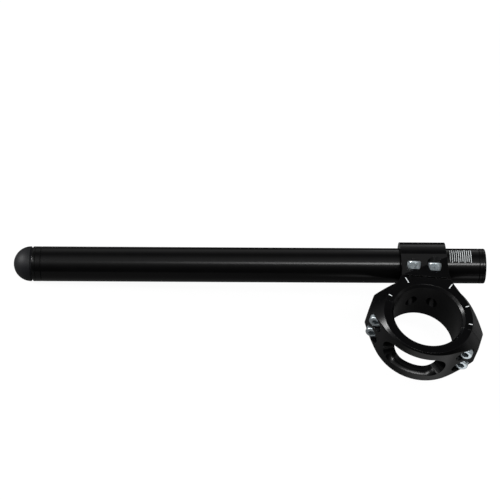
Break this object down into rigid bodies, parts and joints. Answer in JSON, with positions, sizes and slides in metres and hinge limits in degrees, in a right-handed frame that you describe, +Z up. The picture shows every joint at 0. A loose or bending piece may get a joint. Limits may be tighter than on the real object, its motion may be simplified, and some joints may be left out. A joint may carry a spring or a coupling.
{
  "type": "clip-on handlebar",
  "caption": "Clip-on handlebar with a two-piece fork clamp, a windowed bolted cap, a split pinch sleeve and a straight black bar with a domed end plug.",
  "frame": {"origin": "middle of the fork bore, on the fork tube's axis at half the clamp's height", "axes": "+Z up along the fork tube, +X along the bar as seen from above, towards its inner end, +Y from the fork tube towards the bar"},
  "size_m": [0.2987, 0.0935, 0.0633],
  "materials": {
    "clamp": "satin black anodised",
    "bar": "gloss black anodised",
    "plug": "matte black moulded",
    "bolts": "bright zinc plated"
  },
  "bodies": {
    "root": {"clamp_body": "clamp", "clamp_cap": "clamp", "bar_tube": "bar", "bar_end_plug": "plug", "cap_bolts": "bolts", "pinch_bolts": "bolts"}
  },
  "joints": []
}
